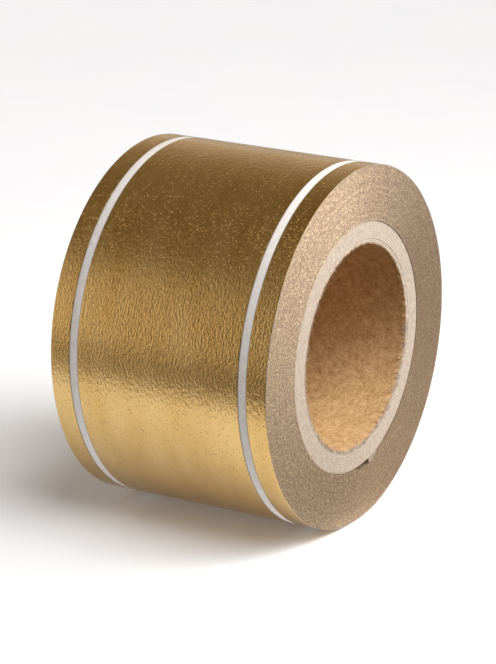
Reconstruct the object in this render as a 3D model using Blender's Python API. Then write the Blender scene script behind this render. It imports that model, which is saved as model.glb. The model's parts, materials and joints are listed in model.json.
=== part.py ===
"""Roll of gold sign vinyl wound on a paperboard core, lying on its curved side.

The roll's axis is +X and the origin is the roll's centre. Turn angles are measured about +X
from +Y towards +Z. The web, which is three strips of gold film on one white release liner,
is wound in that direction from a folded start on the core to a loose tail on the roll's back.

Every round piece shares one grid of flats, so that thin nested layers keep an even gap, and
one flat faces straight down.
"""

import math

import bmesh
import bpy
from mathutils import Vector

MM = 0.001

# Overall sizes, in millimetres.
ROLL_DIAMETER = 134.2
ROLL_WIDTH = 88.9

# Paperboard core, in millimetres: a kraft bore liner, board plies and a white outer wrap.
CORE_BORE = 76.2
CORE_RECESS = 0.2
BORE_LINER_THICKNESS = 0.35
BOARD_PLY_THICKNESS = 0.75
BOARD_PLY_COUNT = 10
CORE_WRAP_THICKNESS = 0.25
GLUE_LINE = 0.03

# Web, in millimetres: the film with its adhesive, and the liner.
FILM_THICKNESS = 0.06
LINER_THICKNESS = 0.07
WEB_CLEARANCE = 0.015
END_CLEARANCE = 0.05
EDGE_STRIP_WIDTH = 8.05
CUT_CHANNEL_WIDTH = 3.2

# Start of the winding, in millimetres: the web's folded end on a strip of mounting tape.
START_TAPE_THICKNESS = 0.1
START_FOLD_HEIGHT = 2.0
CLIMB_SHARE = 0.4

# Grid of flats about the axis. A step is one corner of the grid.
FLATS = 48
RESTING_STEP = 35
START_STEP = 37
START_FOLD_FLATS = 5
START_TAPE_FLATS = 2
TAIL_STEP = 2
TAIL_FLATS = 5
TIP_FLATS = 2

# Sizes that follow from those above, in millimetres.
ROLL_RADIUS = ROLL_DIAMETER / 2
CORE_LENGTH = ROLL_WIDTH - 2 * CORE_RECESS
WEB_PITCH = FILM_THICKNESS + LINER_THICKNESS + 2 * WEB_CLEARANCE
BORE_RADIUS = CORE_BORE / 2
FIRST_PLY_RADIUS = BORE_RADIUS + BORE_LINER_THICKNESS + GLUE_LINE
PLY_PITCH = BOARD_PLY_THICKNESS + GLUE_LINE
WRAP_RADIUS = FIRST_PLY_RADIUS + BOARD_PLY_COUNT * PLY_PITCH
CORE_RADIUS = WRAP_RADIUS + CORE_WRAP_THICKNESS
TAPE_RADIUS = CORE_RADIUS + WEB_CLEARANCE
START_FOLD_RADIUS = TAPE_RADIUS + START_TAPE_THICKNESS + WEB_CLEARANCE
HALF_WIDTH = ROLL_WIDTH / 2
CHANNEL_INNER = HALF_WIDTH - EDGE_STRIP_WIDTH - CUT_CHANNEL_WIDTH
CHANNEL_OUTER = HALF_WIDTH - EDGE_STRIP_WIDTH

# The three strips of film between the two cut channels, as (low, high) along the axis.
FILM_STRIPS = {
    "left": (-HALF_WIDTH, -CHANNEL_OUTER),
    "centre": (-CHANNEL_INNER, CHANNEL_INNER),
    "right": (CHANNEL_OUTER, HALF_WIDTH),
}
TIP_STEP = TAIL_STEP + TAIL_FLATS - TIP_FLATS


def material(name, colour, roughness, metallic=0.0):
    """One finish of the roll."""
    made = bpy.data.materials.new(name)
    made.use_nodes = True
    shader = made.node_tree.nodes["Principled BSDF"]
    shader.inputs["Base Color"].default_value = (*colour, 1.0)
    shader.inputs["Roughness"].default_value = roughness
    shader.inputs["Metallic"].default_value = metallic
    made.diffuse_color = (*colour, 1.0)
    return made


def grid_point(radius, step):
    """The grid's corner at this step, at a radius in millimetres, as (0, y, z)."""
    angle = (step + 0.5) * 2 * math.pi / FLATS
    return Vector((0.0, radius * math.cos(angle), radius * math.sin(angle)))


def web_growth(step):
    """Turns wound since the tail's line, held level across the flat that the roll rests on."""
    turns, since = divmod(step - TAIL_STEP, FLATS)
    if since > RESTING_STEP - TAIL_STEP:
        since -= 1
    return turns + since / (FLATS - 1)


def film_top(step):
    """Radius of the film's outer face on the outermost turn and the tail after it."""
    return ROLL_RADIUS - WEB_PITCH * (1.0 - web_growth(step))


def film_bottom(step):
    return film_top(step) - FILM_THICKNESS


def liner_top(step):
    return film_bottom(step) - WEB_CLEARANCE


def liner_bottom(step):
    return liner_top(step) - LINER_THICKNESS


def wound_top(step):
    """Radius of the pressed turns, one pitch inside the outermost turn."""
    return film_top(step) - WEB_PITCH


def start_fold_top(step):
    """The folded start thins from its full height to one thickness of web."""
    run = (step - START_STEP) / START_FOLD_FLATS
    return START_FOLD_RADIUS + START_FOLD_HEIGHT * (1.0 - run) + WEB_PITCH * run


def wound_bottom(step):
    """The pressed turns lie on the core, and climb over the folded start."""
    place = step % FLATS
    if START_STEP <= place <= START_STEP + START_FOLD_FLATS:
        return start_fold_top(place) + WEB_CLEARANCE
    if place == START_STEP - 1:
        return TAPE_RADIUS + START_FOLD_HEIGHT * CLIMB_SHARE
    return TAPE_RADIUS


def section(first, last, outer, inner, end_gap=0.0):
    """Pairs of outer and inner corners, with the first pair moved in along its flat."""
    pairs = [
        (grid_point(outer(step), step), grid_point(inner(step), step))
        for step in range(first, last + 1)
    ]
    if end_gap:
        flat_length = 2 * math.pi * ROLL_RADIUS / FLATS
        share = end_gap / flat_length
        pairs[0] = tuple(near.lerp(far, share) for near, far in zip(pairs[0], pairs[1]))
    return pairs


def wrapped_solid(name, pairs, span, finish, closed=False, step_top=None, hinge=None):
    """Face the section with quads, extrude it along the axis and place it on its hinge."""
    low, high = span
    origin = hinge["point"] if hinge else Vector()
    shape = bmesh.new()

    def corner(point):
        return shape.verts.new((Vector((low, 0.0, 0.0)) + point - origin) * MM)

    outer = [corner(pair[0]) for pair in pairs]
    inner = [corner(pair[1]) for pair in pairs]
    for near in range(len(pairs) if closed else len(pairs) - 1):
        far = (near + 1) % len(pairs)
        shape.faces.new((outer[near], outer[far], inner[far], inner[near]))
    if step_top:
        shape.faces.new((outer[-1], corner(step_top), outer[0]))
    swept = bmesh.ops.extrude_face_region(shape, geom=shape.faces[:])
    moved = [part for part in swept["geom"] if isinstance(part, bmesh.types.BMVert)]
    bmesh.ops.translate(shape, verts=moved, vec=((high - low) * MM, 0.0, 0.0))
    bmesh.ops.recalc_face_normals(shape, faces=shape.faces[:])

    mesh = bpy.data.meshes.new(name)
    shape.to_mesh(mesh)
    shape.free()
    mesh.shade_smooth()
    mesh.set_sharp_from_angle(angle=math.radians(30))
    mesh.materials.append(finish)
    piece = bpy.data.objects.new(name, mesh)
    bpy.context.scene.collection.objects.link(piece)
    if hinge:
        piece.parent = hinge["empty"]
    return piece


def ring(name, inner_radius, thickness, length, finish):
    """A plain ring of the core, centred on the roll."""
    pairs = section(
        0, FLATS - 1, lambda step: inner_radius + thickness, lambda step: inner_radius
    )
    return wrapped_solid(name, pairs, (-length / 2, length / 2), finish, closed=True)


def hinge_line(name, step, parent=None):
    """An empty on the film's outer face, where the web bends as it is lifted."""
    point = grid_point(film_top(step), step)
    empty = bpy.data.objects.new(name, None)
    bpy.context.scene.collection.objects.link(empty)
    empty.parent = parent["empty"] if parent else None
    empty.location = (point - (parent["point"] if parent else Vector())) * MM
    return {"empty": empty, "point": point}


def build_core(finishes):
    ring("core_bore_liner", BORE_RADIUS, BORE_LINER_THICKNESS, CORE_LENGTH, finishes["kraft"])
    for ply in range(BOARD_PLY_COUNT):
        radius = FIRST_PLY_RADIUS + ply * PLY_PITCH
        name = f"core_board_ply_{ply + 1:02d}"
        ring(name, radius, BOARD_PLY_THICKNESS, CORE_LENGTH, finishes["board"])
    ring("core_outer_wrap", WRAP_RADIUS, CORE_WRAP_THICKNESS, CORE_LENGTH, finishes["wrap"])


def build_start(finishes):
    """The mounting tape and the folded start that it holds on the core."""
    tape = section(
        START_STEP,
        START_STEP + START_TAPE_FLATS,
        lambda step: TAPE_RADIUS + START_TAPE_THICKNESS,
        lambda step: TAPE_RADIUS,
    )
    full_width = (-HALF_WIDTH, HALF_WIDTH)
    core_width = (-CORE_LENGTH / 2, CORE_LENGTH / 2)
    wrapped_solid("start_mounting_tape", tape, core_width, finishes["tape"])
    fold = section(
        START_STEP,
        START_STEP + START_FOLD_FLATS,
        start_fold_top,
        lambda step: START_FOLD_RADIUS,
    )
    wrapped_solid("web_start_fold", fold, full_width, finishes["liner"])


def build_winding(finishes):
    """The pressed turns as one solid, and the outermost turn as a liner under three films."""
    full_width = (-HALF_WIDTH, HALF_WIDTH)
    last = TAIL_STEP + FLATS
    pressed = section(TAIL_STEP, last - 1, wound_top, wound_bottom)
    wrapped_solid(
        "wound_turns",
        pressed,
        full_width,
        finishes["wound"],
        closed=True,
        step_top=grid_point(wound_top(last), last),
    )
    liner = section(TAIL_STEP, last, liner_top, liner_bottom, END_CLEARANCE)
    wrapped_solid("outer_turn_liner", liner, full_width, finishes["liner"])
    film = section(TAIL_STEP, last, film_top, film_bottom, END_CLEARANCE)
    for side, span in FILM_STRIPS.items():
        wrapped_solid(f"outer_turn_{side}_film", film, span, finishes["film"])


def build_tail(finishes):
    """The loose end of the web, and the tips of its films that peel from the liner first."""
    begin = TAIL_STEP + FLATS
    split = TIP_STEP + FLATS
    end = begin + TAIL_FLATS
    tail = hinge_line("tail_hinge", begin)
    liner = section(begin, end, liner_top, liner_bottom, END_CLEARANCE)
    full_width = (-HALF_WIDTH, HALF_WIDTH)
    wrapped_solid("tail_liner", liner, full_width, finishes["liner"], hinge=tail)
    film = section(begin, split, film_top, film_bottom, END_CLEARANCE)
    tip_film = section(split, end, film_top, film_bottom, END_CLEARANCE)
    for side, span in FILM_STRIPS.items():
        wrapped_solid(f"tail_{side}_film", film, span, finishes["film"], hinge=tail)
        tip = hinge_line(f"{side}_film_peel_line", split, tail)
        wrapped_solid(f"{side}_film_tip", tip_film, span, finishes["film"], hinge=tip)


def build():
    for old in list(bpy.data.objects):
        bpy.data.objects.remove(old)
    finishes = {
        "film": material("metallised_gold_film", (0.66, 0.47, 0.19), 0.3, 1.0),
        "liner": material("white_release_liner", (0.87, 0.86, 0.87), 0.5),
        "wound": material("wound_web_edges", (0.36, 0.25, 0.17), 0.7),
        "board": material("cream_core_board", (0.77, 0.65, 0.52), 0.95),
        "wrap": material("white_core_wrap", (0.82, 0.74, 0.64), 0.9),
        "kraft": material("kraft_bore_paper", (0.55, 0.33, 0.13), 0.9),
        "tape": material("start_mounting_tape", (0.55, 0.47, 0.4), 0.6),
    }
    build_core(finishes)
    build_start(finishes)
    build_winding(finishes)
    build_tail(finishes)


build()
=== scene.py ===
"""Looks of the roll of gold sign vinyl: the wound web, its films and liner, and the core.

Lengths are in metres. The roll's axis is +X, and a wind angle is measured about +X from +Y
towards +Z. It goes on growing from turn to turn as the web is wound outwards.
"""
import json
import math

import bpy
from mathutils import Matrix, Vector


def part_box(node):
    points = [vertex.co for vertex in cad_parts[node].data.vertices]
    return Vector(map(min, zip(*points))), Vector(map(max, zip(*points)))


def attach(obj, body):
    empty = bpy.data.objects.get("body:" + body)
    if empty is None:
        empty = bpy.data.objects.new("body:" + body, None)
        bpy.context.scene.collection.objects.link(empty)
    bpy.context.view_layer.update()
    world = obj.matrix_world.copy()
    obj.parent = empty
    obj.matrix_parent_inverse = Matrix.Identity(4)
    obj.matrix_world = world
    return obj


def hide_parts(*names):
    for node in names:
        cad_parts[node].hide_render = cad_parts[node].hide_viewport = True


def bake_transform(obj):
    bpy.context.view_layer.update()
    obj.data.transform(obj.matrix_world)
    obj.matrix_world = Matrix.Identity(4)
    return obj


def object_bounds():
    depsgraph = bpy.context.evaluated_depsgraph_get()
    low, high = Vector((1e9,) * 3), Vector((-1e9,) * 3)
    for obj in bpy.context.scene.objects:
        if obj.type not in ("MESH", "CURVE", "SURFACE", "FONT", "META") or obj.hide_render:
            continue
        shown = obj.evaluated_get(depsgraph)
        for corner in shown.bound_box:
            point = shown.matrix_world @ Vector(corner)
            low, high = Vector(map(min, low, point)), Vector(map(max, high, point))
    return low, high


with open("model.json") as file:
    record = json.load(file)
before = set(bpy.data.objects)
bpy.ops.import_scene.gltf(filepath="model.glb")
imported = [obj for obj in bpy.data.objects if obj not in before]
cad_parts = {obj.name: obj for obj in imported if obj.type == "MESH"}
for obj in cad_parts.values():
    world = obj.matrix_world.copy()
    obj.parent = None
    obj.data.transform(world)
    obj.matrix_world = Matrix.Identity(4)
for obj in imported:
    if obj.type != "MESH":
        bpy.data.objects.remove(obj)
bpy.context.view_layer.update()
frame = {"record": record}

MM = 0.001
TURN = 2 * math.pi

# ---------------------------------------------------------------- sizes

# Places and sizes come from the frame. Its round pieces are faceted, with this many flats.
FLATS = 48
JOINTS = {joint["name"]: joint for joint in frame["record"]["behaviour"]["joints"]}
MOUNTS = {mount["name"]: mount for mount in frame["record"]["mounts"]}


def round_radius(node):
    """The corner radius of a faceted ring, whose box stops at the middle of a flat."""
    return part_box(node)[1][1] / math.cos(TURN / FLATS / 2)


def hinge_place(joint):
    """Radius and angle of a hinge line on the roll."""
    x, y, z = JOINTS[joint]["pos_m"]
    return math.hypot(y, z), math.atan2(z, y)


ROLL_RADIUS, TAIL_ANGLE = hinge_place("tail_lift")
TIP_RADIUS, TIP_ANGLE = hinge_place("centre_film_peel")
TAIL_END_ANGLE = math.atan2(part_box("tail_liner")[1][2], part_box("tail_liner")[0][1])
# Between the two hinge lines the web climbs this many flats' share of one pitch.
FLATS_BETWEEN = round((TIP_ANGLE - TAIL_ANGLE) * FLATS / TURN)
WEB_PITCH = (TIP_RADIUS - ROLL_RADIUS) * (FLATS - 1) / FLATS_BETWEEN
FILM = 0.06 * MM
LINER = 0.07 * MM
CLEARANCE = (WEB_PITCH - FILM - LINER) / 2
HALF_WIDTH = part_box("wound_turns")[1][0]
STRIPS = {side: (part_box(f"outer_turn_{side}_film")[0][0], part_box(f"outer_turn_{side}_film")[1][0])
          for side in ("left", "centre", "right")}
HALF_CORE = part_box("core_outer_wrap")[1][0]
CORE_RADIUS = round_radius("core_outer_wrap")
BORE_RADIUS = MOUNTS["core_bore"]["dims"]["r_mm"] * MM
MOUNTING_TAPE = 0.1 * MM
FOLD_LOW = CORE_RADIUS + 2 * CLEARANCE + MOUNTING_TAPE
START_ANGLE = TURN - math.acos(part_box("web_start_fold")[0][1] / FOLD_LOW)

# The web's start on the core: its fold, its tape and the notch that the turns climb over.
START_FOLD = 2.0 * MM
START_FOLD_ARC = 5 * TURN / FLATS
START_FOLD_LAYERS = 9
START_TAPE_ARC = 2 * TURN / FLATS
TAPED_ARC = math.radians(8)
NOTCH_ARC = math.radians(12)

# The sheets' crinkle and the rounding of their slit edges.
CRINKLE = 0.07 * MM
FILM_EDGE_ROUND = 0.2 * MM
LINER_EDGE_ROUND = 0.06 * MM
# Only the pressed turns climb over the folded start. Other sheets leave that out.
NO_CLIMB = {"Climb Height": 0.0, "Climb Arc": 1.0, "Notch Arc": 1.0}

# ---------------------------------------------------------------- small tools


def colour(hex_code):
    """An sRGB hex colour as linear RGBA."""
    parts = [int(hex_code[i:i + 2], 16) / 255 for i in (0, 2, 4)]
    return (*[p / 12.92 if p <= 0.04045 else ((p + 0.055) / 1.055) ** 2.4 for p in parts], 1.0)


def feed(tree, node, inputs):
    """Give a node's inputs values, or link them from sockets."""
    for key, value in inputs.items():
        if isinstance(value, bpy.types.NodeSocket):
            tree.links.new(value, node.inputs[key])
        else:
            node.inputs[key].default_value = value


def add(tree, kind, settings=None, inputs=None, stops=()):
    """Add a node with its settings and inputs, and with (place, hex colour) stops on a ramp."""
    made = tree.nodes.new(kind)
    for name, value in (settings or {}).items():
        setattr(made, name, value)
    for number, (place, code) in enumerate(stops):
        elements = made.color_ramp.elements
        element = elements[number] if number < len(elements) else elements.new(place)
        element.position = place
        element.color = colour(code)
    feed(tree, made, inputs or {})
    return made


def new_finish(name):
    """A new material with its node tree and its shader."""
    made = bpy.data.materials.new(name)
    made.use_nodes = True
    return made, made.node_tree, made.node_tree.nodes["Principled BSDF"]


def geometry_tree(name, sockets):
    """An empty geometry tree with named inputs, given as name: socket type."""
    tree = bpy.data.node_groups.new(name, "GeometryNodeTree")
    tree.interface.new_socket("Geometry", in_out="OUTPUT", socket_type="NodeSocketGeometry")
    for title, kind in sockets.items():
        tree.interface.new_socket(title, in_out="INPUT", socket_type=kind)
    return tree, tree.nodes.new("NodeGroupInput").outputs, tree.nodes.new("NodeGroupOutput").inputs


def around_axis(tree, x, radius, angle):
    """Nodes that place a point at x along the roll's axis, and at a radius and an angle about it."""
    cosine = add(tree, "ShaderNodeMath", {"operation": "COSINE"}, {0: angle}).outputs[0]
    sine = add(tree, "ShaderNodeMath", {"operation": "SINE"}, {0: angle}).outputs[0]
    y = add(tree, "ShaderNodeMath", {"operation": "MULTIPLY"}, {0: radius, 1: cosine}).outputs[0]
    z = add(tree, "ShaderNodeMath", {"operation": "MULTIPLY"}, {0: radius, 1: sine}).outputs[0]
    return add(tree, "ShaderNodeCombineXYZ", inputs={"X": x, "Y": y, "Z": z}).outputs[0]


def grown(name, tree, values):
    """Run a geometry tree with these inputs and keep its result as a plain mesh object."""
    piece = bpy.data.objects.new(name, bpy.data.meshes.new(name))
    bpy.context.scene.collection.objects.link(piece)
    live = piece.modifiers.new("shape", "NODES")
    live.node_group = tree
    for item in tree.interface.items_tree:
        if item.in_out == "INPUT" and item.name in values:
            live[item.identifier] = values[item.name]
    graph = bpy.context.evaluated_depsgraph_get()
    mesh = bpy.data.meshes.new_from_object(piece.evaluated_get(graph))
    piece.modifiers.remove(live)
    piece.data = mesh
    mesh.name = name
    return piece


# ---------------------------------------------------------------- materials


def metallised_film():
    """Vacuum-metallised gold film: a mirror broken by fine creases that run along the web.

    The real creases and grain are a few tenths of a millimetre apart. They are drawn two to
    three times as coarse, so that they show.
    """
    made, tree, shader = new_finish("metallised_gold_film")
    web = add(tree, "ShaderNodeUVMap", {"uv_map": "web"}).outputs["UV"]
    crease_across, crease_along = 0.8 * MM, 1.9 * MM
    drift_across, drift_along = 9 * MM, 30 * MM
    grain_across, grain_along = 0.35 * MM, 0.6 * MM
    pit_spacing = 0.7 * MM
    crease_place = add(tree, "ShaderNodeMapping", inputs={
        "Vector": web, "Scale": (1 / crease_across, 1 / crease_along, 1)}).outputs[0]
    creases = add(tree, "ShaderNodeTexNoise", inputs={
        "Vector": crease_place, "Scale": 1.0, "Detail": 3.0, "Roughness": 0.6,
        "Distortion": 0.1}).outputs["Fac"]
    drift_place = add(tree, "ShaderNodeMapping", inputs={
        "Vector": web, "Scale": (1 / drift_across, 1 / drift_along, 1)}).outputs[0]
    drift = add(tree, "ShaderNodeTexNoise", inputs={
        "Vector": drift_place, "Scale": 1.0, "Detail": 3.0}).outputs["Fac"]
    grain_place = add(tree, "ShaderNodeMapping", inputs={
        "Vector": web, "Scale": (1 / grain_across, 1 / grain_along, 1)}).outputs[0]
    grain = add(tree, "ShaderNodeTexNoise", inputs={
        "Vector": grain_place, "Scale": 1.0, "Detail": 2.0}).outputs["Fac"]
    pit_cells = add(tree, "ShaderNodeTexVoronoi", {"feature": "F1"}, {
        "Vector": web, "Scale": 1 / pit_spacing, "Randomness": 1.0})
    has_pit = add(tree, "ShaderNodeMapRange", inputs={
        "Value": pit_cells.outputs["Color"], "From Min": 0.66, "From Max": 0.70}).outputs[0]
    pit_slope = add(tree, "ShaderNodeMapRange", inputs={
        "Value": pit_cells.outputs["Distance"], "From Min": 0.0, "From Max": 0.3,
        "To Min": 1.0, "To Max": 0.0}).outputs[0]
    pits = add(tree, "ShaderNodeMath", {"operation": "MULTIPLY"}, {
        0: has_pit, 1: pit_slope}).outputs[0]
    creased = add(tree, "ShaderNodeBump", inputs={
        "Height": creases, "Strength": 1.0, "Distance": 0.28 * MM}).outputs[0]
    grained = add(tree, "ShaderNodeBump", inputs={
        "Height": grain, "Normal": creased, "Strength": 1.0, "Distance": 0.045 * MM}).outputs[0]
    pitted = add(tree, "ShaderNodeBump", inputs={
        "Height": pits, "Normal": grained, "Strength": 1.0, "Distance": 0.22 * MM}).outputs[0]
    gold = add(tree, "ShaderNodeValToRGB", inputs={"Fac": drift}, stops=[
        (0.3, "D0AB6A"), (0.7, "DAB97C")]).outputs["Color"]
    feed(tree, shader, {
        "Base Color": add(tree, "ShaderNodeMix", {"data_type": "RGBA"}, {
            "Factor": pits, 6: gold, 7: colour("8A6A3A")}).outputs[2],
        "Metallic": 1.0,
        "Roughness": add(tree, "ShaderNodeMapRange", inputs={
            "Value": drift, "From Min": 0.3, "From Max": 0.7,
            "To Min": 0.13, "To Max": 0.19}).outputs[0],
        "Normal": pitted})
    return made


def film_back():
    """Acrylic adhesive on the film's back: a clear tacky coat that greys the metal under it."""
    made, tree, shader = new_finish("acrylic_adhesive_back")
    place = add(tree, "ShaderNodeTexCoord").outputs["Object"]
    mottle = add(tree, "ShaderNodeTexNoise", inputs={
        "Vector": place, "Scale": 1 / (3 * MM), "Detail": 4.0}).outputs["Fac"]
    ripple = add(tree, "ShaderNodeBump", inputs={
        "Height": mottle, "Strength": 0.3, "Distance": 0.1 * MM}).outputs[0]
    feed(tree, shader, {
        "Base Color": add(tree, "ShaderNodeValToRGB", inputs={"Fac": mottle}, stops=[
            (0.3, "B9B2A2"), (0.7, "CBC6BA")]).outputs["Color"],
        "Metallic": 0.5, "Roughness": 0.38, "Normal": ripple})
    return made


def release_liner():
    """Silicone-coated glassine liner: satin white, with a faint cloudy formation.

    Next to the cut films it carries a thin grey line of painted shade along each film's edge.
    """
    made, tree, shader = new_finish("silicone_release_liner")
    place = add(tree, "ShaderNodeTexCoord").outputs["Object"]
    cloud = add(tree, "ShaderNodeTexNoise", inputs={
        "Vector": place, "Scale": 1 / (1.6 * MM), "Detail": 5.0, "Roughness": 0.6}).outputs["Fac"]
    fibre = add(tree, "ShaderNodeTexNoise", inputs={
        "Vector": place, "Scale": 1 / (0.4 * MM), "Detail": 3.0}).outputs["Fac"]
    across = add(tree, "ShaderNodeSeparateXYZ", inputs={"Vector": place}).outputs["X"]
    off_centre = add(tree, "ShaderNodeMath", {"operation": "ABSOLUTE"}, {0: across}).outputs[0]
    middle = (STRIPS["right"][0] + STRIPS["centre"][1]) / 2
    half_gap = (STRIPS["right"][0] - STRIPS["centre"][1]) / 2
    line_width = 0.35 * MM
    from_middle = add(tree, "ShaderNodeMath", {"operation": "SUBTRACT"}, {
        0: off_centre, 1: middle}).outputs[0]
    distance = add(tree, "ShaderNodeMath", {"operation": "ABSOLUTE"}, {0: from_middle}).outputs[0]
    # Painted shade: a thin grey line on the liner along each film's cut edge.
    painted_edge_shade = add(tree, "ShaderNodeMapRange", {"interpolation_type": "SMOOTHSTEP"}, {
        "Value": distance, "From Min": half_gap - line_width, "From Max": half_gap,
        "To Min": 0.0, "To Max": 0.55}).outputs[0]
    paper = add(tree, "ShaderNodeValToRGB", inputs={"Fac": cloud}, stops=[
        (0.3, "DFDBD9"), (0.7, "F0EEED")]).outputs["Color"]
    paper_with_painted_shade = add(tree, "ShaderNodeMix", {"data_type": "RGBA"}, {
        "Factor": painted_edge_shade, 6: paper, 7: colour("A89C8E")}).outputs[2]
    relief = add(tree, "ShaderNodeBump", inputs={
        "Height": fibre, "Strength": 0.25, "Distance": 0.03 * MM}).outputs[0]
    feed(tree, shader, {
        "Base Color": paper_with_painted_shade, "Roughness": 0.42, "Normal": relief})
    return made


def cut_web_edges():
    """Slit edges of pressed film and liner: matt paper and bright metal in fine layers.

    The layers are 0.16 mm apart, too fine to show, so the bands and the metal flecks are drawn
    two to seven times as coarse.
    """
    made, tree, shader = new_finish("slit_edges_of_wound_web")
    place = add(tree, "ShaderNodeTexCoord").outputs["Object"]
    split = add(tree, "ShaderNodeSeparateXYZ", inputs={"Vector": place})
    flat = add(tree, "ShaderNodeCombineXYZ", inputs={
        "X": split.outputs["Y"], "Y": split.outputs["Z"]}).outputs[0]
    radius = add(tree, "ShaderNodeVectorMath", {"operation": "LENGTH"}, {0: flat}).outputs["Value"]
    banding = add(tree, "ShaderNodeTexNoise", {"noise_dimensions": "1D"}, {
        "W": radius, "Scale": 1 / (1.1 * MM), "Detail": 5.0, "Roughness": 0.7}).outputs["Fac"]
    grain = add(tree, "ShaderNodeTexNoise", inputs={
        "Vector": place, "Scale": 1 / (0.36 * MM), "Detail": 3.0, "Roughness": 0.7}).outputs["Fac"]
    glitter = add(tree, "ShaderNodeTexVoronoi", inputs={
        "Vector": place, "Scale": 1 / (0.32 * MM)}).outputs["Color"]
    speck = add(tree, "ShaderNodeMapRange", inputs={
        "Value": glitter, "From Min": 0.72, "From Max": 0.8}).outputs[0]
    layers = add(tree, "ShaderNodeMath", {"operation": "MULTIPLY"}, {
        0: banding, 1: 0.3}).outputs[0]
    mixed = add(tree, "ShaderNodeMath", {"operation": "MULTIPLY_ADD"}, {
        0: grain, 1: 0.7, 2: layers}).outputs[0]
    body = add(tree, "ShaderNodeValToRGB", inputs={"Fac": mixed}, stops=[
        (0.36, "78604B"), (0.5, "AF967E"), (0.64, "DFC6A8")]).outputs["Color"]
    flecked = add(tree, "ShaderNodeMix", {"data_type": "RGBA"}, {
        "Factor": speck, 6: body, 7: colour("FFEBC4")}).outputs[2]
    relief = add(tree, "ShaderNodeBump", inputs={
        "Height": grain, "Strength": 1.0, "Distance": 0.18 * MM}).outputs[0]
    feed(tree, shader, {
        "Base Color": flecked,
        "Metallic": add(tree, "ShaderNodeMath", {"operation": "MULTIPLY_ADD"}, {
            0: speck, 1: 0.5, 2: 0.3}).outputs[0],
        "Roughness": 0.4, "Normal": relief})
    return made


def film_edge():
    """The slit edge of one film, drawn as lit and shaded copies of one edge: pale bright metal at the
    roll's ends, a painted highlight on the real metal, and dull dark brown in the channels, which is
    painted shade.
    """
    made, tree, shader = new_finish("slit_film_edge")
    place = add(tree, "ShaderNodeTexCoord").outputs["Object"]
    nick = add(tree, "ShaderNodeTexNoise", inputs={
        "Vector": place, "Scale": 1 / (1.2 * MM), "Detail": 3.0}).outputs["Fac"]
    across = add(tree, "ShaderNodeSeparateXYZ", inputs={"Vector": place}).outputs["X"]
    off_centre = add(tree, "ShaderNodeMath", {"operation": "ABSOLUTE"}, {0: across}).outputs[0]
    end_margin = 1.0 * MM
    at_roll_end = add(tree, "ShaderNodeMath", {"operation": "GREATER_THAN"}, {
        0: off_centre, 1: HALF_WIDTH - end_margin}).outputs[0]
    bright = add(tree, "ShaderNodeValToRGB", inputs={"Fac": nick}, stops=[
        (0.35, "B8935A"), (0.65, "F0DDB0")]).outputs["Color"]
    # Painted light: dull dark brown in the channels is painted shade, and pale bright metal at the
    # roll's ends is a painted highlight.
    feed(tree, shader, {
        "Base Color": add(tree, "ShaderNodeMix", {"data_type": "RGBA"}, {
            "Factor": at_roll_end, 6: colour("6E5A3C"), 7: bright}).outputs[2],
        "Metallic": add(tree, "ShaderNodeMath", {"operation": "MULTIPLY"}, {
            0: at_roll_end, 1: 0.9}).outputs[0],
        "Roughness": 0.32})
    return made


def paperboard(name, dark, light, fleck, grain, lift):
    """Uncoated board: pressed fibre that is matt, mottled and slightly furry.

    grain is the fibre bundles' size and lift their relief, both in millimetres. Real fibres are
    some 0.03 mm thick, so bundles of them are drawn.
    """
    made, tree, shader = new_finish(name)
    place = add(tree, "ShaderNodeTexCoord").outputs["Object"]
    clouds = add(tree, "ShaderNodeTexNoise", inputs={
        "Vector": place, "Scale": 1 / (3.2 * grain * MM), "Detail": 4.0,
        "Roughness": 0.6}).outputs["Fac"]
    fibres = add(tree, "ShaderNodeTexNoise", inputs={
        "Vector": place, "Scale": 1 / (grain * MM), "Detail": 5.0, "Roughness": 0.7,
        "Distortion": 0.8}).outputs["Fac"]
    blend = add(tree, "ShaderNodeMath", {"operation": "MULTIPLY"}, {
        0: clouds, 1: 0.4}).outputs[0]
    tone = add(tree, "ShaderNodeMath", {"operation": "MULTIPLY_ADD"}, {
        0: fibres, 1: 0.6, 2: blend}).outputs[0]
    specks = add(tree, "ShaderNodeTexVoronoi", inputs={
        "Vector": place, "Scale": 1 / (0.9 * MM)}).outputs["Color"]
    chosen = add(tree, "ShaderNodeMapRange", inputs={
        "Value": specks, "From Min": 0.80, "From Max": 0.9, "To Max": 0.35}).outputs[0]
    body = add(tree, "ShaderNodeValToRGB", inputs={"Fac": tone}, stops=[
        (0.35, dark), (0.65, light)]).outputs["Color"]
    flecked = add(tree, "ShaderNodeMix", {"data_type": "RGBA"}, {
        "Factor": chosen, 6: body, 7: colour(fleck)}).outputs[2]
    relief = add(tree, "ShaderNodeBump", inputs={
        "Height": tone, "Strength": 0.8, "Distance": lift * MM}).outputs[0]
    feed(tree, shader, {
        "Base Color": flecked, "Roughness": 0.92, "Specular IOR Level": 0.25, "Normal": relief})
    return made


GOLD = metallised_film()
BACK = film_back()
PAPER = release_liner()
EDGES = cut_web_edges()
FILM_EDGE = film_edge()
BOARD = paperboard("cream_core_board", "B2A392", "D9CEC2", "AE9679", 0.6, 0.12)
WRAP = paperboard("white_core_wrap", "B9AA9A", "DAD0C4", "BFA88D", 0.5, 0.06)
KRAFT = paperboard("kraft_bore_liner", "9E7746", "D8B588", "765029", 0.8, 0.16)
# The web's back is drawn dark brown as painted shade. It shows only in the notch over the folded
# start.
NOTCH_SHADE_BACK = paperboard("web_back_painted_shade_in_notch", "66533F", "83705A", "56452F", 0.6, 0.05)
TAPE = paperboard("tissue_mounting_tape", "9A8B7D", "B5A798", "8C7C6C", 0.7, 0.05)
FOLDED = paperboard("folded_web_edges", "7E6A55", "A08A72", "6E5A46", 0.5, 0.05)


# ---------------------------------------------------------------- geometry trees


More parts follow.
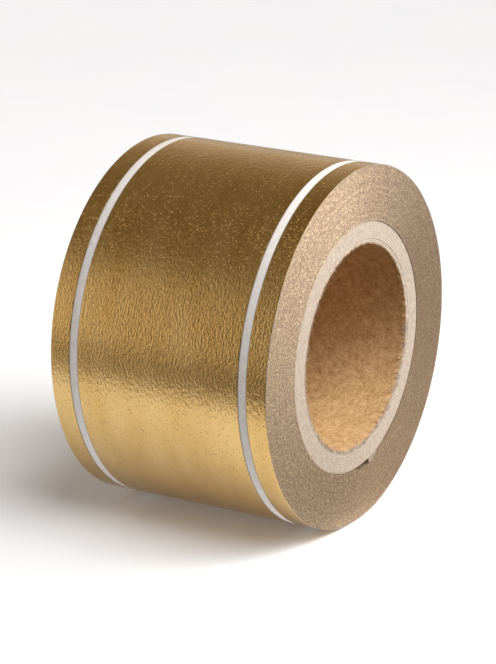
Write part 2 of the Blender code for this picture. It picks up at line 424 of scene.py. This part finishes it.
def wound_sheet_tree():
    """A closed strip bent round the axis along a spiral, from one wind angle to another."""
    tree, given, result = geometry_tree("wound sheet", {
        "Low X": "NodeSocketFloat", "High X": "NodeSocketFloat",
        "First Angle": "NodeSocketFloat", "Last Angle": "NodeSocketFloat",
        "First Radius": "NodeSocketFloat", "Last Radius": "NodeSocketFloat",
        "Thickness": "NodeSocketFloat", "Columns": "NodeSocketInt", "Rows": "NodeSocketInt",
        "Layers": "NodeSocketInt", "Crinkle Height": "NodeSocketFloat",
        "Edge Wander": "NodeSocketFloat", "Edge Crown": "NodeSocketFloat",
        "Climb Height": "NodeSocketFloat", "Climb Angle": "NodeSocketFloat",
        "Climb Arc": "NodeSocketFloat", "Notch Arc": "NodeSocketFloat",
        "Face": "NodeSocketMaterial", "Back": "NodeSocketMaterial", "Edge": "NodeSocketMaterial"})
    block = add(tree, "GeometryNodeMeshCube", inputs={
        "Vertices X": given["Columns"], "Vertices Y": given["Rows"],
        "Vertices Z": given["Layers"]}).outputs["Mesh"]
    normal = add(tree, "GeometryNodeInputNormal").outputs["Normal"]
    facing = add(tree, "ShaderNodeSeparateXYZ", inputs={"Vector": normal}).outputs
    is_face = add(tree, "ShaderNodeMath", {"operation": "GREATER_THAN"}, {
        0: facing["Z"], 1: 0.5}).outputs[0]
    is_back = add(tree, "ShaderNodeMath", {"operation": "LESS_THAN"}, {
        0: facing["Z"], 1: -0.5}).outputs[0]
    edged = add(tree, "GeometryNodeSetMaterial", inputs={
        "Geometry": block, "Material": given["Edge"]}).outputs[0]
    faced = add(tree, "GeometryNodeSetMaterial", inputs={
        "Geometry": edged, "Selection": is_face, "Material": given["Face"]}).outputs[0]
    backed = add(tree, "GeometryNodeSetMaterial", inputs={
        "Geometry": faced, "Selection": is_back, "Material": given["Back"]}).outputs[0]
    across_face = add(tree, "ShaderNodeMath", {"operation": "ABSOLUTE"}, {
        0: facing["Y"]}).outputs[0]
    keeps_flat = add(tree, "ShaderNodeMath", {"operation": "GREATER_THAN"}, {
        0: across_face, 1: 0.5}).outputs[0]
    sides = add(tree, "ShaderNodeMath", {"operation": "ABSOLUTE"}, {0: facing["X"]}).outputs[0]
    is_side = add(tree, "ShaderNodeMath", {"operation": "GREATER_THAN"}, {
        0: sides, 1: 0.5}).outputs[0]
    crowned = add(tree, "ShaderNodeMath", {"operation": "GREATER_THAN"}, {
        0: given["Edge Crown"], 1: 0.0}).outputs[0]
    plain_side = add(tree, "ShaderNodeMath", {"operation": "SUBTRACT"}, {
        0: is_side, 1: crowned}).outputs[0]
    hard = add(tree, "ShaderNodeMath", {"operation": "MAXIMUM"}, {
        0: plain_side, 1: keeps_flat}).outputs[0]
    smooth = add(tree, "ShaderNodeMath", {"operation": "LESS_THAN"}, {0: hard, 1: 0.5}).outputs[0]
    shaded = add(tree, "GeometryNodeSetShadeSmooth", inputs={
        "Geometry": backed, "Selection": True, "Shade Smooth": smooth}).outputs[0]

    place = add(tree, "GeometryNodeInputPosition").outputs["Position"]
    flat = add(tree, "ShaderNodeSeparateXYZ", inputs={"Vector": place}).outputs
    half = {"From Min": -0.5, "From Max": 0.5}

    # The rows next to the cut ends stand close to them, so that each end shades as a crisp cut.
    gaps = add(tree, "ShaderNodeMath", {"operation": "SUBTRACT"}, {
        0: given["Rows"], 1: 1.0}).outputs[0]
    outer_row = add(tree, "ShaderNodeMath", {"operation": "DIVIDE"}, {0: -1.0, 1: gaps}).outputs[0]
    was = add(tree, "ShaderNodeMath", {"operation": "ADD"}, {0: 0.5, 1: outer_row}).outputs[0]
    becomes = add(tree, "ShaderNodeMath", {"operation": "MULTIPLY_ADD"}, {
        0: outer_row, 1: 0.05, 2: 0.5}).outputs[0]
    spread = add(tree, "ShaderNodeMath", {"operation": "DIVIDE"}, {0: becomes, 1: was}).outputs[0]
    row = add(tree, "ShaderNodeMath", {"operation": "MULTIPLY"}, {
        0: flat["Y"], 1: spread}).outputs[0]
    angle = add(tree, "ShaderNodeMapRange", inputs={
        "Value": row, **half, "To Min": given["First Angle"],
        "To Max": given["Last Angle"]}).outputs[0]
    radius = add(tree, "ShaderNodeMapRange", inputs={
        "Value": row, **half, "To Min": given["First Radius"],
        "To Max": given["Last Radius"]}).outputs[0]
    depth = add(tree, "ShaderNodeMapRange", inputs={
        "Value": flat["Z"], **half, "To Min": given["Thickness"], "To Max": 0.0}).outputs[0]
    reach = add(tree, "ShaderNodeMapRange", inputs={
        "Value": flat["X"], **half, "To Min": given["Low X"], "To Max": given["High X"]}).outputs[0]

    # The first turns climb over the folded start, and the rise fades towards the outside.
    past_start = add(tree, "ShaderNodeMath", {"operation": "SUBTRACT"}, {
        0: angle, 1: given["Climb Angle"]}).outputs[0]
    around = add(tree, "ShaderNodeMath", {"operation": "WRAP"}, {
        0: past_start, 1: math.pi, 2: -math.pi}).outputs[0]
    notch = add(tree, "ShaderNodeMath", {"operation": "MULTIPLY"}, {
        0: given["Notch Arc"], 1: -1.0}).outputs[0]
    notch_top = add(tree, "ShaderNodeMath", {"operation": "MULTIPLY"}, {
        0: notch, 1: 0.55}).outputs[0]
    rise = add(tree, "ShaderNodeMapRange", {"interpolation_type": "SMOOTHSTEP"}, {
        "Value": around, "From Min": notch, "From Max": notch_top}).outputs[0]
    fall = add(tree, "ShaderNodeMapRange", inputs={
        "Value": around, "From Min": 0.0, "From Max": given["Climb Arc"],
        "To Min": 1.0, "To Max": 0.0}).outputs[0]
    bump = add(tree, "ShaderNodeMath", {"operation": "MINIMUM"}, {0: rise, 1: fall}).outputs[0]
    fade = add(tree, "ShaderNodeMapRange", inputs={
        "Value": row, **half, "To Min": given["Climb Height"], "To Max": 0.0}).outputs[0]
    climb = add(tree, "ShaderNodeMath", {"operation": "MULTIPLY"}, {0: bump, 1: fade}).outputs[0]

    # Crinkles follow the web, so they run on from piece to piece.
    along = add(tree, "ShaderNodeMath", {"operation": "MULTIPLY"}, {
        0: angle, 1: ROLL_RADIUS}).outputs[0]
    web = add(tree, "ShaderNodeCombineXYZ", inputs={"X": reach, "Y": along}).outputs[0]
    stretched = add(tree, "ShaderNodeVectorMath", {"operation": "MULTIPLY"}, {
        0: web, 1: (1 / (2.2 * MM), 1 / (6.0 * MM), 1.0)}).outputs[0]
    crinkle = add(tree, "ShaderNodeTexNoise", inputs={
        "Vector": stretched, "Scale": 1.0, "Detail": 1.5, "Distortion": 0.3}).outputs["Fac"]
    ripple = add(tree, "ShaderNodeMath", {"operation": "MULTIPLY"}, {
        0: crinkle, 1: given["Crinkle Height"]}).outputs[0]
    climbed = add(tree, "ShaderNodeMath", {"operation": "ADD"}, {0: radius, 1: climb}).outputs[0]
    rippled = add(tree, "ShaderNodeMath", {"operation": "ADD"}, {0: climbed, 1: ripple}).outputs[0]
    final = add(tree, "ShaderNodeMath", {"operation": "SUBTRACT"}, {
        0: rippled, 1: depth}).outputs[0]

    # Each turn's slit edge stands a little further in or out than the next one's.
    wander = add(tree, "ShaderNodeTexNoise", {"noise_dimensions": "1D"}, {
        "W": angle, "Scale": 0.35, "Detail": 1.0}).outputs["Fac"]
    pull = add(tree, "ShaderNodeMath", {"operation": "MULTIPLY"}, {
        0: wander, 1: given["Edge Wander"]}).outputs[0]
    leaning = add(tree, "ShaderNodeMath", {"operation": "ADD"}, {0: flat["Z"], 1: 0.4}).outputs[0]
    from_middle = add(tree, "ShaderNodeMath", {"operation": "ABSOLUTE"}, {0: leaning}).outputs[0]
    crown = add(tree, "ShaderNodeMath", {"operation": "MULTIPLY_ADD"}, {
        0: from_middle, 1: given["Edge Crown"], 2: pull}).outputs[0]
    end = add(tree, "ShaderNodeMath", {"operation": "MULTIPLY"}, {0: flat["X"], 1: -2.0}).outputs[0]
    x = add(tree, "ShaderNodeMath", {"operation": "MULTIPLY_ADD"}, {
        0: end, 1: crown, 2: reach}).outputs[0]

    bent = around_axis(tree, x, final, angle)
    mapped = add(tree, "GeometryNodeStoreNamedAttribute", {
        "data_type": "FLOAT2", "domain": "CORNER"}, {
        "Geometry": shaded, "Name": "web", "Value": web}).outputs[0]
    placed = add(tree, "GeometryNodeSetPosition", inputs={
        "Geometry": mapped, "Position": bent}).outputs[0]
    tree.links.new(add(tree, "GeometryNodeRealizeInstances", inputs={
        "Geometry": placed}).outputs[0], result["Geometry"])
    return tree


def core_ring_tree():
    """A ring of board with crushed, fibrous ends and an uneven wall."""
    tree, given, result = geometry_tree("core ring", {
        "Inner Radius": "NodeSocketFloat", "Outer Radius": "NodeSocketFloat",
        "Half Length": "NodeSocketFloat", "Columns": "NodeSocketInt", "Rows": "NodeSocketInt",
        "Layers": "NodeSocketInt", "Crush": "NodeSocketFloat", "End Fur": "NodeSocketFloat",
        "Wall Wave": "NodeSocketFloat", "Bore Fray": "NodeSocketFloat", "Seed": "NodeSocketFloat",
        "Material": "NodeSocketMaterial"})
    block = add(tree, "GeometryNodeMeshCube", inputs={
        "Vertices X": given["Columns"], "Vertices Y": given["Rows"],
        "Vertices Z": given["Layers"]}).outputs["Mesh"]
    normal = add(tree, "GeometryNodeInputNormal").outputs["Normal"]
    facing = add(tree, "ShaderNodeSeparateXYZ", inputs={"Vector": normal}).outputs
    across = add(tree, "ShaderNodeMath", {"operation": "ABSOLUTE"}, {0: facing["Y"]}).outputs[0]
    seam = add(tree, "ShaderNodeMath", {"operation": "GREATER_THAN"}, {
        0: across, 1: 0.5}).outputs[0]
    opened = add(tree, "GeometryNodeDeleteGeometry", {"domain": "FACE"}, {
        "Geometry": block, "Selection": seam}).outputs[0]
    place = add(tree, "GeometryNodeInputPosition").outputs["Position"]
    flat = add(tree, "ShaderNodeSeparateXYZ", inputs={"Vector": place}).outputs
    half = {"From Min": -0.5, "From Max": 0.5}
    angle = add(tree, "ShaderNodeMapRange", inputs={
        "Value": flat["Y"], **half, "To Min": 0.0, "To Max": TURN}).outputs[0]
    radius = add(tree, "ShaderNodeMapRange", inputs={
        "Value": flat["Z"], **half, "To Min": given["Inner Radius"],
        "To Max": given["Outer Radius"]}).outputs[0]
    end = add(tree, "ShaderNodeMath", {"operation": "MULTIPLY"}, {0: flat["X"], 1: 2.0}).outputs[0]
    reach = add(tree, "ShaderNodeMath", {"operation": "MULTIPLY"}, {
        0: end, 1: given["Half Length"]}).outputs[0]
    plain = around_axis(tree, reach, radius, angle)

    # The end sinks towards the wall's faces and is furred, and the bore's wall swells a little.
    fur = add(tree, "ShaderNodeTexNoise", {"noise_dimensions": "4D"}, {
        "Vector": plain, "W": given["Seed"], "Scale": 1 / (1.0 * MM), "Detail": 3.0,
        "Roughness": 0.65}).outputs["Fac"]
    wave = add(tree, "ShaderNodeTexNoise", {"noise_dimensions": "4D"}, {
        "Vector": plain, "W": given["Seed"], "Scale": 1 / (9 * MM), "Detail": 3.0}).outputs["Fac"]
    leaning = add(tree, "ShaderNodeMath", {"operation": "ADD"}, {0: flat["Z"], 1: 0.3}).outputs[0]
    square = add(tree, "ShaderNodeMath", {"operation": "MULTIPLY"}, {
        0: leaning, 1: leaning}).outputs[0]
    crushed = add(tree, "ShaderNodeMath", {"operation": "MULTIPLY"}, {
        0: square, 1: given["Crush"]}).outputs[0]
    sunk = add(tree, "ShaderNodeMath", {"operation": "MULTIPLY_ADD"}, {
        0: fur, 1: given["End Fur"], 2: crushed}).outputs[0]
    near_end = add(tree, "ShaderNodeMath", {"operation": "MULTIPLY"}, {
        0: end, 1: -1.0}).outputs[0]
    x = add(tree, "ShaderNodeMath", {"operation": "MULTIPLY_ADD"}, {
        0: near_end, 1: sunk, 2: reach}).outputs[0]
    swell = add(tree, "ShaderNodeMath", {"operation": "SUBTRACT"}, {0: wave, 1: 0.5}).outputs[0]
    waved = add(tree, "ShaderNodeMath", {"operation": "MULTIPLY_ADD"}, {
        0: swell, 1: given["Wall Wave"], 2: radius}).outputs[0]

    # The cut rim of the bore is torn, so it stands in and out of the round.
    end_distance = add(tree, "ShaderNodeMath", {"operation": "ABSOLUTE"}, {0: end}).outputs[0]
    at_end = add(tree, "ShaderNodeMath", {"operation": "GREATER_THAN"}, {
        0: end_distance, 1: 0.99}).outputs[0]
    torn = add(tree, "ShaderNodeMath", {"operation": "SUBTRACT"}, {0: fur, 1: 0.48}).outputs[0]
    fray = add(tree, "ShaderNodeMath", {"operation": "MULTIPLY"}, {
        0: torn, 1: given["Bore Fray"]}).outputs[0]
    frayed = add(tree, "ShaderNodeMath", {"operation": "MULTIPLY"}, {0: fray, 1: at_end}).outputs[0]
    walled = add(tree, "ShaderNodeMath", {"operation": "ADD"}, {0: waved, 1: frayed}).outputs[0]
    bent = around_axis(tree, x, walled, angle)
    placed = add(tree, "GeometryNodeSetPosition", inputs={
        "Geometry": opened, "Position": bent}).outputs[0]
    closed = add(tree, "GeometryNodeMergeByDistance", inputs={
        "Geometry": placed, "Distance": 0.001 * MM}).outputs[0]
    shaded = add(tree, "GeometryNodeSetShadeSmooth", inputs={
        "Geometry": closed, "Shade Smooth": True}).outputs[0]
    real = add(tree, "GeometryNodeRealizeInstances", inputs={"Geometry": shaded}).outputs[0]
    tree.links.new(add(tree, "GeometryNodeSetMaterial", inputs={
        "Geometry": real, "Material": given["Material"]}).outputs[0], result["Geometry"])
    return tree


def fibre_tree():
    """Short loose fibres standing on the rim of a cut tube, drawn thicker than real ones to show."""
    tree, given, result = geometry_tree("rim fibres", {
        "Rim Radius": "NodeSocketFloat", "Rim X": "NodeSocketFloat", "Band": "NodeSocketFloat",
        "Count": "NodeSocketInt", "Length": "NodeSocketFloat", "Seed": "NodeSocketInt",
        "Material": "NodeSocketMaterial"})
    points = add(tree, "GeometryNodePoints", inputs={"Count": given["Count"]}).outputs[0]
    turn = add(tree, "FunctionNodeRandomValue", {"data_type": "FLOAT"}, {
        2: 0.0, 3: TURN, "Seed": given["Seed"]}).outputs[1]
    spread = add(tree, "FunctionNodeRandomValue", {"data_type": "FLOAT"}, {
        2: 0.0, 3: 1.0, "Seed": add(tree, "ShaderNodeMath", {"operation": "ADD"}, {
            0: given["Seed"], 1: 11.0}).outputs[0]}).outputs[1]
    radius = add(tree, "ShaderNodeMath", {"operation": "MULTIPLY_ADD"}, {
        0: spread, 1: given["Band"], 2: given["Rim Radius"]}).outputs[0]
    placed = add(tree, "GeometryNodeSetPosition", inputs={
        "Geometry": points,
        "Position": around_axis(tree, given["Rim X"], radius, turn)}).outputs[0]

    # One bent hair of length 1, a triangle in section, is stood on each point at its own tilt.
    hair_radius, shortest_hair, most_tilt = 0.045, 0.35, 3.1
    line = add(tree, "GeometryNodeCurvePrimitiveBezierSegment", {"mode": "POSITION"}, {
        "Resolution": 5, "Start": (0, 0, 0), "Start Handle": (0.1, 0, 0.35),
        "End Handle": (0.45, 0.1, 0.6), "End": (0.5, 0.3, 0.9)}).outputs[0]
    ring = add(tree, "GeometryNodeCurvePrimitiveCircle", {"mode": "RADIUS"}, {
        "Resolution": 3, "Radius": hair_radius}).outputs[0]
    hair = add(tree, "GeometryNodeCurveToMesh", inputs={
        "Curve": line, "Profile Curve": ring, "Fill Caps": True}).outputs[0]
    tilt = add(tree, "FunctionNodeRandomValue", {"data_type": "FLOAT_VECTOR"}, {
        0: (-most_tilt,) * 3, 1: (most_tilt,) * 3, "Seed": given["Seed"]}).outputs[0]
    size = add(tree, "FunctionNodeRandomValue", {"data_type": "FLOAT"}, {
        2: shortest_hair, 3: 1.0, "Seed": given["Seed"]}).outputs[1]
    scale = add(tree, "ShaderNodeMath", {"operation": "MULTIPLY"}, {
        0: size, 1: given["Length"]}).outputs[0]
    stood = add(tree, "GeometryNodeInstanceOnPoints", inputs={
        "Points": placed, "Instance": hair, "Rotation": tilt, "Scale": scale}).outputs[0]
    real = add(tree, "GeometryNodeRealizeInstances", inputs={"Geometry": stood}).outputs[0]
    tree.links.new(add(tree, "GeometryNodeSetMaterial", inputs={
        "Geometry": real, "Material": given["Material"]}).outputs[0], result["Geometry"])
    return tree


SHEET = wound_sheet_tree()
RING = core_ring_tree()
FIBRES = fibre_tree()


# ---------------------------------------------------------------- pieces


def web_radius(angle):
    """Outer radius of the film at a wind angle counted from the tail's hinge line."""
    return ROLL_RADIUS + WEB_PITCH * (angle - TAIL_ANGLE) / TURN


def strip(name, span, first, last, depth, thickness, columns, rows, finishes, crinkle, crown):
    """One strip of film or liner that follows the outer spiral, with rounded slit edges."""
    face, back, edge = finishes
    return grown(name, SHEET, {
        "Low X": span[0], "High X": span[1], "First Angle": first, "Last Angle": last,
        "First Radius": web_radius(first) - depth, "Last Radius": web_radius(last) - depth,
        "Thickness": thickness, "Columns": columns, "Rows": rows, "Layers": 3,
        "Crinkle Height": crinkle, "Edge Crown": crown, **NO_CLIMB,
        "Face": face, "Back": back, "Edge": edge})


def film_strip(name, side, first, last, rows):
    """One of the three gold films, crinkled, between two wind angles."""
    columns = 105 if side == "centre" else 15
    piece = strip(name, STRIPS[side], first, last, 0.0, FILM, columns, rows,
                  (GOLD, BACK, FILM_EDGE), CRINKLE, FILM_EDGE_ROUND)
    return piece


def liner_strip(name, first, last, columns, rows):
    """The white liner under the films, between two wind angles."""
    piece = strip(name, (-HALF_WIDTH, HALF_WIDTH), first, last, FILM + CLEARANCE, LINER,
                  columns, rows, (PAPER, PAPER, PAPER), 0.0, LINER_EDGE_ROUND)
    return piece


def build_core():
    """The bore liner, ten board plies and the outer wrap, with loose fibres on both rims."""
    rings = [("core_bore_liner", KRAFT, "kraft_bore_liner")]
    rings += [(f"core_board_ply_{ply:02d}", BOARD, "core_board") for ply in range(1, 11)]
    rings += [("core_outer_wrap", WRAP, "core_wrap")]
    glue_line = 0.01 * MM
    inner = BORE_RADIUS
    for number, (node, finish, slot) in enumerate(rings):
        outer = round_radius(node)
        lining = node == "core_bore_liner"
        furred = number < 3
        piece = grown(node.replace("core_", "tube_"), RING, {
            "Inner Radius": inner, "Outer Radius": outer, "Half Length": HALF_CORE,
            "Columns": 40 if lining else 2, "Rows": 721, "Layers": 5, "Crush": 0.1 * MM,
            "End Fur": (0.6 if furred else 0.32) * MM, "Wall Wave": 0.12 * MM if lining else 0.0,
            "Bore Fray": 2.6 * MM if lining else 0.0, "Seed": 0.15 * number,
            "Material": finish})
        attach(piece, "roll")
        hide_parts(node)
        inner = outer + glue_line
    rooted = 0.3 * MM
    for side, rim_x, seed in (("right", HALF_CORE - rooted, 5), ("left", rooted - HALF_CORE, 6)):
        fibres = grown(f"{side}_rim_fibres", FIBRES, {
            "Rim Radius": BORE_RADIUS + 0.05 * MM, "Rim X": rim_x, "Band": 0.6 * MM,
            "Count": 2200, "Length": 1.4 * MM, "Seed": seed, "Material": BOARD})
        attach(fibres, "roll")


def build_pressed_turns():
    """The web from the start on the core out to one turn under the outside, as one ribbon."""
    turns = math.floor((ROLL_RADIUS - CORE_RADIUS) / WEB_PITCH)
    rows_a_turn = 104
    last = TAIL_ANGLE
    first = last - (turns - 1) * TURN
    first += (START_ANGLE - first) % TURN - TURN
    web = grown("pressed_turns", SHEET, {
        "Low X": -HALF_WIDTH, "High X": HALF_WIDTH, "First Angle": first, "Last Angle": last,
        "First Radius": CORE_RADIUS + CLEARANCE + WEB_PITCH, "Last Radius": ROLL_RADIUS - WEB_PITCH,
        "Thickness": WEB_PITCH * 0.94, "Columns": 2,
        "Rows": round((last - first) / TURN * rows_a_turn), "Layers": 3,
        "Edge Wander": 0.05 * MM, "Edge Crown": LINER_EDGE_ROUND,
        "Climb Height": START_FOLD + 0.1 * MM, "Climb Angle": START_ANGLE,
        "Climb Arc": START_FOLD_ARC * 1.1, "Notch Arc": NOTCH_ARC,
        "Face": EDGES, "Back": NOTCH_SHADE_BACK, "Edge": EDGES})
    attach(web, "roll")
    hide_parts("wound_turns")


def build_start():
    """The mounting tape, and the web's start folded back on itself in ever shorter layers."""
    thick = START_FOLD / START_FOLD_LAYERS
    stagger, shortest = 0.004, 0.01  # in radians
    for layer in range(START_FOLD_LAYERS):
        share = layer / START_FOLD_LAYERS
        radius = FOLD_LOW + (layer + 1) * thick
        begin = START_ANGLE + stagger * (layer % 2)
        change = begin + TAPED_ARC * (1 - 0.5 * share)
        end = START_ANGLE + START_FOLD_ARC * (1 - share)
        # The first layer's plain part is the web's back, drawn dark brown as painted shade in the
        # notch.
        plain = FOLDED if layer else NOTCH_SHADE_BACK
        for part, first, last, edge in (("taped", begin, change, TAPE),
                                        ("plain", change, end, plain)):
            if last - first < shortest:
                continue
            piece = grown(f"start_fold_{part}_{layer + 1}", SHEET, {
                "Low X": -HALF_WIDTH, "High X": HALF_WIDTH, "First Angle": first,
                "Last Angle": last, "First Radius": radius, "Last Radius": radius,
                "Thickness": thick * 0.9, "Columns": 2, "Rows": 24, "Layers": 3,
                "Edge Crown": LINER_EDGE_ROUND, "Edge Wander": 0.1 * MM, **NO_CLIMB,
                "Face": edge, "Back": edge, "Edge": edge})
            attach(piece, "roll")
            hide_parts("web_start_fold")
    tape_top = CORE_RADIUS + 0.115 * MM
    tape = grown("start_tape", SHEET, {
        "Low X": -HALF_CORE, "High X": HALF_CORE, "First Angle": START_ANGLE,
        "Last Angle": START_ANGLE + START_TAPE_ARC, "First Radius": tape_top,
        "Last Radius": tape_top, "Thickness": MOUNTING_TAPE, "Columns": 2, "Rows": 20,
        "Layers": 2, **NO_CLIMB, "Face": TAPE, "Back": TAPE, "Edge": TAPE})
    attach(tape, "roll")
    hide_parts("start_mounting_tape")


def build_outer_turn():
    """The last full turn: a liner under three films that leave two channels open."""
    first, last = TAIL_ANGLE - TURN, TAIL_ANGLE
    liner = liner_strip("outer_liner", first, last, 8, 361)
    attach(liner, "roll")
    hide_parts("outer_turn_liner")
    for side in STRIPS:
        film = film_strip(f"outer_{side}_film", side, first, last, 381)
        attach(film, "roll")
        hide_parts(f"outer_turn_{side}_film")


def build_tail():
    """The loose end from its hinge line to its end, and its film tips past their own hinge line."""
    liner = liner_strip("tail_liner_sheet", TAIL_ANGLE, TAIL_END_ANGLE, 24, 60)
    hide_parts("tail_liner")
    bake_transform(liner)
    for side in STRIPS:
        film = film_strip(f"tail_{side}_strip", side, TAIL_ANGLE, TIP_ANGLE, 40)
        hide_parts(f"tail_{side}_film")
        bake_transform(film)
        tip = film_strip(f"{side}_strip_tip", side, TIP_ANGLE, TAIL_END_ANGLE, 30)
        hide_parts(f"{side}_film_tip")
        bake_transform(tip)


# ---------------------------------------------------------------- studio


def shine_from(lamp, direction):
    """Turn a lamp so that it shines on the roll from this direction, and stand it that far off."""
    made = bpy.data.objects.new(lamp.name, lamp)
    x, y, z = direction
    made.location = direction
    made.rotation_euler = (math.acos(z / math.hypot(x, y, z)), 0.0, math.atan2(y, x) + math.pi / 2)
    bpy.context.scene.collection.objects.link(made)


def build_studio():
    """A white table, and the key, the rim softbox and the room that light the roll.

    The film is a mirror, so grey flags on the table and a front softbox, which only show in
    reflections, give it its dark and bright bands.
    """
    scene = bpy.context.scene
    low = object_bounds()[0][2]

    def panel(name, corners, seen):
        """A flat panel, solid from its front and clear from its back, that the camera sees or not."""
        mesh = bpy.data.meshes.new(name)
        mesh.from_pydata(corners, [], [(0, 1, 2, 3)])
        made = bpy.data.objects.new(name, mesh)
        made.visible_camera = seen
        made.visible_shadow = seen
        scene.collection.objects.link(made)
        finish, tree, shader = new_finish(name)
        mesh.materials.append(finish)
        side = add(tree, "ShaderNodeNewGeometry").outputs["Backfacing"]
        clear = add(tree, "ShaderNodeBsdfTransparent").outputs[0]
        mixed = add(tree, "ShaderNodeMixShader", inputs={
            0: side, 1: shader.outputs[0], 2: clear}).outputs[0]
        feed(tree, tree.nodes["Material Output"], {"Surface": mixed})
        return tree, shader

    far = 8.0
    tree, shader = panel("white_table", [
        (-far, -far, low), (far, -far, low), (far, far, low), (-far, far, low)], True)
    place = add(tree, "ShaderNodeTexCoord").outputs["Object"]
    tooth = add(tree, "ShaderNodeTexNoise", inputs={
        "Vector": place, "Scale": 1 / (40 * MM), "Detail": 3.0}).outputs["Fac"]
    feed(tree, shader, {
        "Base Color": add(tree, "ShaderNodeValToRGB", inputs={"Fac": tooth}, stops=[
            (0.3, "F4F8FF"), (0.7, "F8FBFF")]).outputs["Color"],
        "Roughness": 0.9, "Emission Color": colour("F4F8FF"), "Emission Strength": 0.1})

    # Each flag has a tone and an outline on the table, just above it.
    flags = {
        "front_right_flag": ("5A554F", [(-0.07, -0.18), (-0.225, -0.5), (0.6, -0.5), (0.6, -0.18)]),
        "front_left_flag": ("9B9388", [(-0.6, -0.18), (-0.6, -0.5), (-0.225, -0.5), (-0.07, -0.18)]),
        "back_flag": ("A8A49E", [(-2.0, 0.12), (0.05, 0.12), (0.05, 2.0), (-2.0, 2.0)]),
        "front_far_flag": ("4A4641", [(-1.5, -2.5), (1.5, -2.5), (1.5, -0.5), (-1.5, -0.5)]),
        "right_flag": ("4E4A45", [(0.05, -0.18), (2.0, -0.18), (2.0, 0.1), (0.05, 0.1)])}
    for name, (tone, outline) in flags.items():
        tree, shader = panel(name, [(x, y, low + MM) for x, y in outline], False)
        feed(tree, shader, {"Base Color": colour(tone), "Roughness": 0.9})
    tree, shader = panel("front_softbox", [
        (-0.7, -0.45, 0.8), (-0.28, -0.45, 0.8), (-0.2, -0.45, low), (-0.7, -0.45, low)], False)
    bpy.data.objects["front_softbox"].visible_diffuse = False
    place = add(tree, "ShaderNodeTexCoord").outputs["Object"]
    height = add(tree, "ShaderNodeSeparateXYZ", inputs={"Vector": place}).outputs["Z"]
    feed(tree, shader, {
        "Base Color": colour("000000"), "Emission Color": colour("FFF4E4"),
        "Emission Strength": add(tree, "ShaderNodeMapRange", {"interpolation_type": "SMOOTHSTEP"}, {
            "Value": height, "From Min": 0.12, "From Max": 0.7, "To Min": 0.98,
            "To Max": 0.16}).outputs[0]})

    key = bpy.data.lights.new("key", "SUN")
    key.energy = 2.4
    key.angle = math.radians(45)
    key.color = colour("FBFCFF")[:3]
    shine_from(key, (0.54, -0.2, 0.81))

    rim = bpy.data.lights.new("rim_softbox", "AREA")
    rim.energy = 1.9
    rim.size = 0.3
    rim.color = colour("FFF9F0")[:3]
    shine_from(rim, (0.34, 0.12, 0.33))

    # The room is warm and bright at the horizon, dark overhead, and darker still in front.
    world = bpy.data.worlds.new("studio")
    world.use_nodes = True
    tree = world.node_tree
    direction = add(tree, "ShaderNodeTexCoord").outputs["Generated"]
    split = add(tree, "ShaderNodeSeparateXYZ", inputs={"Vector": direction}).outputs
    room = add(tree, "ShaderNodeValToRGB", inputs={"Fac": split["Z"]}, stops=[
        (0.0, "D2C2AD"), (0.1, "DFCFB9"), (0.31, "C2AF99"), (0.57, "948671"), (0.73, "7D7160"),
        (1.0, "74695A")]).outputs["Color"]
    front = add(tree, "ShaderNodeMapRange", {"interpolation_type": "SMOOTHSTEP"}, {
        "Value": split["Y"], "From Min": -0.5, "From Max": -0.8}).outputs[0]
    shaded = add(tree, "ShaderNodeMix", {"data_type": "RGBA"}, {
        "Factor": front, 6: room, 7: colour("5E564C")}).outputs[2]
    feed(tree, tree.nodes["Background"], {"Color": shaded, "Strength": 1.0})
    scene.world = world
    scene.view_settings.view_transform = "Standard"


def build_camera():
    """The view of the right end and the front, from a long lens a little above the roll."""
    turned, raised = math.radians(30.22), math.radians(17.89)
    roll_radii_away = 16.74
    distance = roll_radii_away * ROLL_RADIUS
    view = bpy.data.cameras.new("camera")
    view.lens = 164.9
    view.shift_x = -0.0064
    view.shift_y = -0.0048
    made = bpy.data.objects.new("camera", view)
    made.location = (distance * math.sin(turned) * math.cos(raised),
                     -distance * math.cos(turned) * math.cos(raised),
                     distance * math.sin(raised))
    made.rotation_euler = (math.pi / 2 - raised, 0.0, turned)
    bpy.context.scene.collection.objects.link(made)
    bpy.context.scene.camera = made


build_core()
build_pressed_turns()
build_start()
build_outer_turn()
build_tail()
build_studio()
build_camera()
